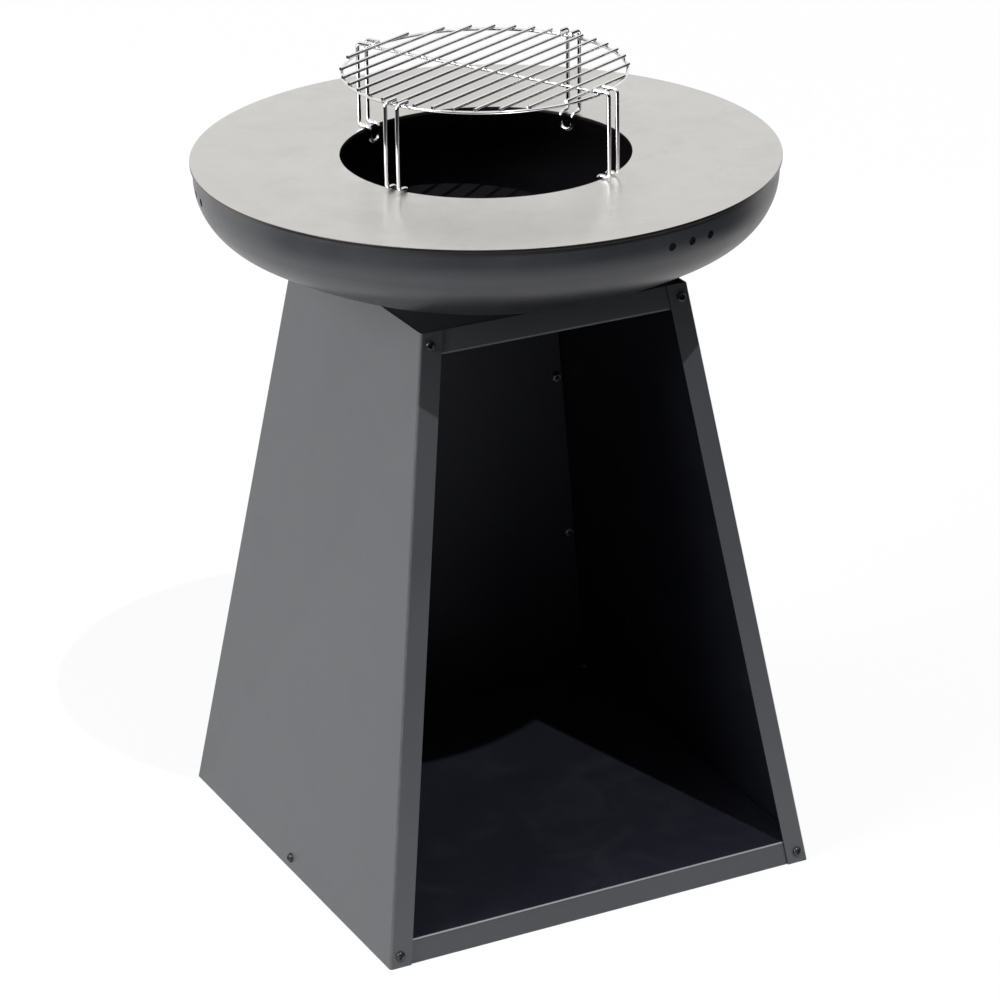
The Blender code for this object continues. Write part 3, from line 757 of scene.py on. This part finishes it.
def makeVentCutter():
    tree, sockets, given, result = newMeshTree("ventCutter", {
        "Vent radius": bowl["ventRadius"], "Wall radius": bowl["radius"],
        "Height": bowlHigh.z - bowl["ventDrop"], "Groups": bowl["ventGroups"],
        "Vents each": bowl["ventsEach"], "Vent turn": math.radians(bowl["ventTurn"]),
        "First turn": math.radians(bowl["ventFirst"])})
    total = times(tree, given["Groups"], given["Vents each"])
    points = nodeOut(tree, "GeometryNodeMeshLine", {"Count": total})
    index = nodeOut(tree, "GeometryNodeInputIndex")
    group = calc(tree, "FLOOR", calc(tree, "DIVIDE", index, given["Vents each"]))
    inGroup = minus(tree, index, times(tree, group, given["Vents each"]))
    middle = calc(tree, "DIVIDE", minus(tree, given["Vents each"], 1.0), 2.0)
    offset = times(tree, minus(tree, inGroup, middle), given["Vent turn"])
    groupTurn = calc(tree, "DIVIDE", times(tree, group, 2 * math.pi), given["Groups"])
    turn = calc(tree, "ADD", calc(tree, "ADD", groupTurn, offset), given["First turn"])
    x = times(tree, calc(tree, "COSINE", turn), given["Wall radius"])
    y = times(tree, calc(tree, "SINE", turn), given["Wall radius"])
    place = vectorOf(tree, x, y, given["Height"])
    moved = nodeOut(tree, "GeometryNodeSetPosition", {"Geometry": points, "Position": place})
    punch = nodeOut(tree, "GeometryNodeMeshCylinder", {
        "Vertices": bowl["ventSides"], "Radius": given["Vent radius"], "Depth": bowl["punchLength"]})
    lay = vectorOf(tree, 0.0, math.pi / 2, turn)
    punches = copyOnto(tree, moved, punch, Rotation=lay)
    tools = nodeOut(tree, "GeometryNodeRealizeInstances", {0: punches})
    cut = addNode(tree, "GeometryNodeMeshBoolean", operation="DIFFERENCE", solver="EXACT")
    tree.links.new(given["Geometry"], cut.inputs[0])
    tree.links.new(tools, cut.inputs[1])
    endTree(tree, cut.outputs[0], given, result)
    return tree, sockets


bowlRough = newObject("bowlRough", turnedMesh("bowlRough", bowlProfile(), bowl["steps"]))
bowlPiece = grow("fire_bowl_shell", bowlRough, makeVentCutter(), Finish=bowlPaint)
smoothUnder(bowlPiece.data, bowl["smooth"])
# The faces inside take painted shade
markFaces(bowlPiece.data, "inside", facesIn)
setOff(bowlPiece, "fire_bowl", "bowl_paint", "fire_bowl")
print("bowl done")


# Griddle plate: a flat ring with eased edges, and its three tabs underneath

plateLow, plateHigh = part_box("griddle_plate")
plate = {
    "radius": 350 * mm, "holeRadius": 173 * mm, "edge": 0.5 * mm, "edgeSteps": 4, "steps": 256,
    "smooth": 30, "tabs": 3}


def plateProfile():
    # Four eased corners, inner top first
    edge = plate["edge"]
    inner, outer = plate["holeRadius"] + edge, plate["radius"] - edge
    low, high = plateLow.z + edge, plateHigh.z - edge
    corners = ((inner, high, -90.0, -180.0), (outer, high, 180.0, 90.0),
               (outer, low, 90.0, 0.0), (inner, low, 0.0, -90.0))
    profile = []
    for radius, height, start, end in corners:
        profile += arc((radius, height), edge, start, end, plate["edgeSteps"])
    return profile


plateMesh = turnedMesh("griddle_ring", plateProfile(), plate["steps"])
plateMesh.materials.append(plateSteel)
smoothUnder(plateMesh, plate["smooth"])
# Its side faces take painted shade, the dark line under the rim
markFaces(plateMesh, "edgeShade", facesSideways)
setOff(newObject("griddle_ring", plateMesh), "griddle", "plate_steel", "griddle_plate")
for number in range(plate["tabs"]):
    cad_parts[f"plate_tab_{number + 1}"].material_slots[0].material = plateSteel
print("griddle done")


# Cooking grate: bars by rule, bent legs and ring along paths, and weld beads where wires cross

ringLow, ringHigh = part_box("grate_ring")
grate = {
    "turn": 27.0, "ringRadius": 167.5 * mm, "ringWire": 2 * mm, "ringSteps": 144, "crossWire": 2 * mm,
    "barWire": 1.5 * mm, "barCoat": 0.45 * mm, "bars": 15, "barSpacing": 22.5 * mm, "barOverhang": 2.5 * mm,
    "barPoints": 6, "barSides": 12, "barEase": 0.35 * mm, "barEndThinner": 0.4, "barThinFade": 0.2,
    "crossShort": 0.6, "clearance": 0.3 * mm,
    "legWire": 2.5 * mm, "legPair": 17 * mm, "legDrop": 20 * mm, "legInset": 6.5 * mm, "legFoot": 5.5 * mm,
    "legBend": 5 * mm, "legReach": 5 * mm, "loopBend": 7.6 * mm, "sides": 14,
    "bead": 2.0 * mm, "beadLift": 0.1 * mm, "beadLeast": (0.8, 0.8, 0.62), "beadMost": (1.25, 1.25, 0.85),
    "smooth": 50, "seed": 3}
grateTurn = Matrix.Rotation(math.radians(grate["turn"]), 4, "Z")
ringHeight = (ringLow.z + ringHigh.z) / 2
barHeight = ringHeight + grate["ringWire"] + grate["clearance"] + grate["barWire"]


def endTubes(tree, curve, sides, given, result):
    # Runs a round wire along the curve
    section = nodeOut(tree, "GeometryNodeCurvePrimitiveCircle", {
        "Resolution": sides, "Radius": given["Wire radius"]})
    tubes = nodeOut(tree, "GeometryNodeCurveToMesh", {
        "Curve": curve, "Profile Curve": section, "Fill Caps": True})
    endTree(tree, tubes, given, result)


def makeBarTree():
    # Parallel bars across a circle: each reaches a little past the ring, its ends eased
    tree, sockets, given, result = newMeshTree("grateBars", {
        "Bars": grate["bars"], "Spacing": grate["barSpacing"], "Ring radius": grate["ringRadius"],
        "Overhang": grate["barOverhang"], "Wire radius": grate["barWire"] + grate["barCoat"],
        "Height": barHeight})
    halfCount = times(tree, minus(tree, given["Bars"], 1.0), -0.5)
    first = times(tree, halfCount, given["Spacing"])
    start = vectorOf(tree, 0.0, first, 0.0)
    step = vectorOf(tree, 0.0, given["Spacing"], 0.0)
    rows = nodeOut(tree, "GeometryNodeMeshLine", {
        "Count": given["Bars"], "Start Location": start, "Offset": step})
    ends = {"Start": (-1.0, 0.0, 0.0), "End": (1.0, 0.0, 0.0)}
    line = nodeOut(tree, "GeometryNodeCurvePrimitiveLine", ends)
    stick = nodeOut(tree, "GeometryNodeResampleCurve", {"Curve": line, "Count": grate["barPoints"]})
    sticks = copyOnto(tree, rows, stick)
    real = nodeOut(tree, "GeometryNodeRealizeInstances", {0: sticks})
    position = nodeOut(tree, "GeometryNodeInputPosition")
    x, y, _ = addNode(tree, "ShaderNodeSeparateXYZ", {0: position}).outputs[:3]
    index = addNode(tree, "GeometryNodeSplineParameter").outputs["Index"]
    fromEnd = calc(tree, "MINIMUM", index, minus(tree, grate["barPoints"] - 1.0, index))
    inset = times(tree, times(tree, fromEnd, fromEnd), grate["barEase"])
    ringSquared = times(tree, given["Ring radius"], given["Ring radius"])
    chord = minus(tree, ringSquared, times(tree, y, y))
    half = calc(tree, "ADD", calc(tree, "SQRT", chord), given["Overhang"])
    along = times(tree, calc(tree, "SIGN", x), minus(tree, half, inset))
    place = vectorOf(tree, along, y, given["Height"])
    moved = nodeOut(tree, "GeometryNodeSetPosition", {"Geometry": real, "Position": place})
    fade = calc(tree, "POWER", grate["barThinFade"], fromEnd)
    thin = minus(tree, 1.0, times(tree, grate["barEndThinner"], fade))
    eased = nodeOut(tree, "GeometryNodeSetCurveRadius", {"Curve": moved, "Radius": thin})
    endTubes(tree, eased, grate["barSides"], given, result)
    return tree, sockets


def makeWireTree():
    tree, sockets, given, result = newMeshTree("wireAlongPath", {
        "Wire radius": "Float", "Sides": grate["sides"]})
    endTubes(tree, given["Geometry"], given["Sides"], given, result)
    return tree, sockets


def makeBeadTree():
    # Small uneven lumps of weld, squashed along Z
    tree, sockets, given, result = newMeshTree("weldBeads", {
        "Bead radius": grate["bead"], "Seed": grate["seed"]})
    lump = nodeOut(tree, "GeometryNodeMeshIcoSphere", {"Radius": given["Bead radius"], "Subdivisions": 2})
    span = {0: grate["beadLeast"], 1: grate["beadMost"], 8: given["Seed"]}
    sizes = nodeOut(tree, "FunctionNodeRandomValue", span, data_type="FLOAT_VECTOR")
    endTree(tree, copyOnto(tree, given["Geometry"], lump, Scale=sizes), given, result)
    return tree, sockets


def roundPath(points, radii, steps=6):
    # Each inner corner of an open path becomes an arc of its own radius
    path = [Vector(points[0])]
    for before, corner, after, radius in zip(points, points[1:], points[2:], radii):
        corner = Vector(corner)
        back = (Vector(before) - corner).normalized()
        ahead = (Vector(after) - corner).normalized()
        halfAngle = back.angle(ahead) / 2
        centre = corner + (back + ahead).normalized() * (radius / math.sin(halfAngle))
        reach = radius / math.tan(halfAngle)
        start, end = corner + back * reach - centre, corner + ahead * reach - centre
        sweep = start.angle(end)
        for i in range(steps + 1):
            t = i / steps
            blend = start * math.sin((1 - t) * sweep) + end * math.sin(t * sweep)
            path.append(centre + blend / math.sin(sweep))
    path.append(Vector(points[-1]))
    return path


def pathCurve(name, paths, cyclic):
    curve = bpy.data.curves.new(name, "CURVE")
    curve.dimensions = "3D"
    for points in paths:
        spline = curve.splines.new("POLY")
        spline.points.add(len(points) - 1)
        for point, place in zip(spline.points, points):
            point.co = (*place, 1.0)
        spline.use_cyclic_u = cyclic
    return newObject(name, curve)


wireTree = makeWireTree()


def makeWires(name, paths, radius, nodes, cyclic=False):
    path = pathCurve(name + "Path", paths, cyclic)
    wires = grow(name, path, wireTree, grateTurn, Wire_radius=radius, Finish=grateChrome)
    smoothUnder(wires.data, grate["smooth"])
    setOff(wires, "cooking_grate", "grate_chrome", *nodes)


def legPath(turn):
    # From on top of the ring, down outside it, over the hole's edge, and back in a hanging loop
    wire, side = grate["legWire"], grate["legPair"] / 2
    foot = plateHigh.z + wire + grate["clearance"]
    top = ringHeight + grate["ringWire"] + grate["clearance"] + wire
    loopRadius = plate["holeRadius"] - grate["legInset"]
    legRadius = loopRadius + 2 * grate["legBend"] + grate["legFoot"]
    half = [(grate["ringRadius"] - grate["legReach"], top), (legRadius, top), (legRadius, foot),
            (loopRadius, foot), (loopRadius, foot - grate["legDrop"])]
    corners = [(r, side, z) for r, z in half] + [(r, -side, z) for r, z in reversed(half)]
    bends, loops = [grate["legBend"]] * 3, [grate["loopBend"]] * 2
    return [Matrix.Rotation(turn, 3, "Z") @ point for point in roundPath(corners, bends + loops + bends)]


circle = [(grate["ringRadius"] * math.cos(t), grate["ringRadius"] * math.sin(t), ringHeight)
          for t in evenTurns(grate["ringSteps"])]
makeWires("grate_ring_wire", [circle], grate["ringWire"], ["grate_ring"], cyclic=True)
crossReach = grate["ringRadius"] - grate["crossShort"] * grate["ringWire"]
crossEnds = [(0.0, -crossReach, ringHeight), (0.0, crossReach, ringHeight)]
makeWires("grate_cross_rod", [crossEnds], grate["crossWire"], ["grate_cross_wire"])
makeWires("grate_legs", [legPath(math.pi / 2 * i) for i in range(4)], grate["legWire"],
          ["grate_leg_right", "grate_leg_back", "grate_leg_left", "grate_leg_front"])

barStart = newObject("barStart", bpy.data.meshes.new("barStart"))
bars = grow("grate_bars", barStart, makeBarTree(), grateTurn, Finish=grateChrome)
smoothUnder(bars.data, grate["smooth"])
setOff(bars, "cooking_grate", "grate_chrome", *[f"grate_bar_{i + 1:02d}" for i in range(grate["bars"])])


def beadPoints():
    # Where bars meet the ring and the cross wire, legs lie on the ring, and the cross wire ends in it
    ring, meet = grate["ringRadius"], ringHeight + grate["ringWire"] + grate["beadLift"]
    points = []
    for i in range(grate["bars"]):
        across = (i - (grate["bars"] - 1) / 2) * grate["barSpacing"]
        reach = math.sqrt(ring ** 2 - across ** 2)
        points += [(-reach, across, meet), (reach, across, meet), (0.0, across, meet)]
    for i in range(4):
        turn = Matrix.Rotation(math.pi / 2 * i, 3, "Z")
        points += [turn @ Vector((ring, sign * grate["legPair"] / 2, meet)) for sign in (-1, 1)]
    return points + crossEnds


beadStart = newObject("beadPoints", plainMesh("beadPoints", beadPoints()))
beads = grow("grate_weld_beads", beadStart, makeBeadTree(), grateTurn, Finish=grateChrome)
beads.data.shade_smooth()
setOff(beads, "cooking_grate", "grate_chrome")
print("grate done")


# Stage: a pale floor that shows white to the camera and in reflections, but keeps the shadow

stage = {"floorHalf": 30.0, "floorColour": (0.82, 0.82, 0.82), "shadowShare": 0.11,
         "skyColour": (0.93, 0.96, 1.0, 1.0), "ambient": 0.46, "white": (1.0, 1.0, 1.0, 1.0)}


def whiteToLens(tree):
    # 1 for rays that see the background: camera, glossy and transmission
    path = tree.nodes.new("ShaderNodeLightPath").outputs
    return calc(tree, "MAXIMUM", calc(tree, "MAXIMUM", path["Is Camera Ray"], path["Is Glossy Ray"]),
                path["Is Transmission Ray"])


def newMatt(name, colour):
    material, tree, shader = nodeMaterial(name)
    tree.nodes.remove(shader)
    matt = nodeOut(tree, "ShaderNodeBsdfDiffuse", {"Color": (*colour, 1.0)})
    return material, tree, matt


def makeFloor():
    half = stage["floorHalf"]
    corners = [(-half, -half, 0.0), (half, -half, 0.0), (half, half, 0.0), (-half, half, 0.0)]
    mesh = plainMesh("floor", corners, [(0, 1, 2, 3)])
    floor = newObject("floor", mesh)
    material, tree, matt = newMatt("paleFloor", stage["floorColour"])
    white = nodeOut(tree, "ShaderNodeEmission", {"Color": stage["white"], "Strength": 1.0})
    share = times(tree, whiteToLens(tree), 1.0 - stage["shadowShare"])
    mixed = nodeOut(tree, "ShaderNodeMixShader", {0: share, 1: matt, 2: white})
    tree.links.new(mixed, tree.nodes["Material Output"].inputs["Surface"])
    mesh.materials.append(material)


def makeSky():
    world = bpy.data.worlds.new("studio")
    bpy.context.scene.world = world
    world.use_nodes = True
    tree = world.node_tree
    soft = tree.nodes["Background"]
    soft.inputs["Color"].default_value = stage["skyColour"]
    soft.inputs["Strength"].default_value = stage["ambient"]
    bright = nodeOut(tree, "ShaderNodeBackground", {"Color": stage["white"], "Strength": 1.0})
    mixed = nodeOut(tree, "ShaderNodeMixShader", {0: whiteToLens(tree), 1: soft.outputs[0], 2: bright})
    tree.links.new(mixed, tree.nodes["World Output"].inputs["Surface"])


makeFloor()
makeSky()


# Dark cloths out of sight, for the dark lines in the chrome and paint: low in front, tall at the right, and
# one at the left that shows in reflections alone. Each has its first and last turn in degrees and its height.

cloths = {
    "inner": 1.5, "radius": 6.0, "aboveFloor": 2 * mm, "colour": (0.03, 0.03, 0.033), "step": 5.0,
    "frontCloth": (-78.0, 50.0, 3.6), "rightCloth": (50.0, 93.0, 6.2), "leftCard": (-115.0, -78.0, 7.2)}


def makeCloth(name, finish):
    # Lies on the floor from the inner radius to the outer one, and stands up there
    first, last, high = cloths[name]
    inner, outer, low = cloths["inner"], cloths["radius"], cloths["aboveFloor"]
    rows = [(inner, low), (outer, low), (outer, high)]
    steps = round((last - first) / cloths["step"])
    points, faces = [], []
    for i in range(steps + 1):
        turn = math.radians(first + (last - first) * i / steps)
        points += [(radius * math.sin(turn), -radius * math.cos(turn), height) for radius, height in rows]
    for i in range(steps):
        faces += [(3 * i + k, 3 * i + k + 1, 3 * i + k + 4, 3 * i + k + 3) for k in range(2)]
    mesh = plainMesh(name, points, faces)
    mesh.materials.append(finish)
    cloth = newObject(name, mesh)
    cloth.visible_camera = cloth.visible_shadow = False
    cloth.visible_diffuse = name != "leftCard"


def makeCloths():
    material, tree, matt = newMatt("darkCloth", cloths["colour"])
    tree.links.new(matt, tree.nodes["Material Output"].inputs["Surface"])
    for name in ("frontCloth", "rightCloth", "leftCard"):
        makeCloth(name, material)


makeCloths()


# Lights: a high key from the front, as the shadows on the flanges and shelf show, and a soft box at the left

lights = {
    "keyTravel": (-0.025, 0.575, -1.0), "keyStrength": 2.3, "keySpread": 0.7,
    "fillPlace": (-3.4, -0.3, 2.3), "fillAim": (0.0, 0.0, 0.5), "fillSize": 2.2, "fillPower": 155.0}


def addLamp(name, kind, energy, travel):
    light = bpy.data.lights.new(name, kind)
    light.energy = energy
    lamp = newObject(name, light)
    lamp.rotation_mode = "QUATERNION"
    lamp.rotation_quaternion = travel.to_track_quat("-Z", "Y")
    return lamp


def makeLights():
    key = addLamp("key", "SUN", lights["keyStrength"], Vector(lights["keyTravel"]))
    key.data.angle = math.radians(lights["keySpread"])
    place = Vector(lights["fillPlace"])
    fill = addLamp("fill", "AREA", lights["fillPower"], Vector(lights["fillAim"]) - place)
    fill.location = place
    fill.data.shape = "SQUARE"
    fill.data.size = lights["fillSize"]


makeLights()


# Camera: solved from the stand's corners and the round edges in the photograph

camera = {"place": (-2.01609, -3.99233, 2.34925), "azimuth": -26.9337, "elevation": 23.15, "roll": -0.7892,
          "lens": 142.755, "sensor": 36.0}


def makeCamera():
    turn, lift, roll = (math.radians(camera[key]) for key in ("azimuth", "elevation", "roll"))
    back = Vector((math.sin(turn) * math.cos(lift), -math.cos(turn) * math.cos(lift), math.sin(lift)))
    right = Vector((math.cos(turn), math.sin(turn), 0.0))
    up = back.cross(right)
    across = right * math.cos(roll) + up * math.sin(roll)
    upright = up * math.cos(roll) - right * math.sin(roll)
    data = bpy.data.cameras.new("camera")
    data.sensor_width = camera["sensor"]
    data.lens = camera["lens"]
    item = newObject("camera", data)
    axes = Matrix((across, upright, back)).transposed().to_4x4()
    item.matrix_world = Matrix.Translation(camera["place"]) @ axes
    bpy.context.scene.camera = item


makeCamera()
bpy.context.scene.view_settings.view_transform = "Standard"
print("stage, lights and camera done")

bpy.context.view_layer.update()
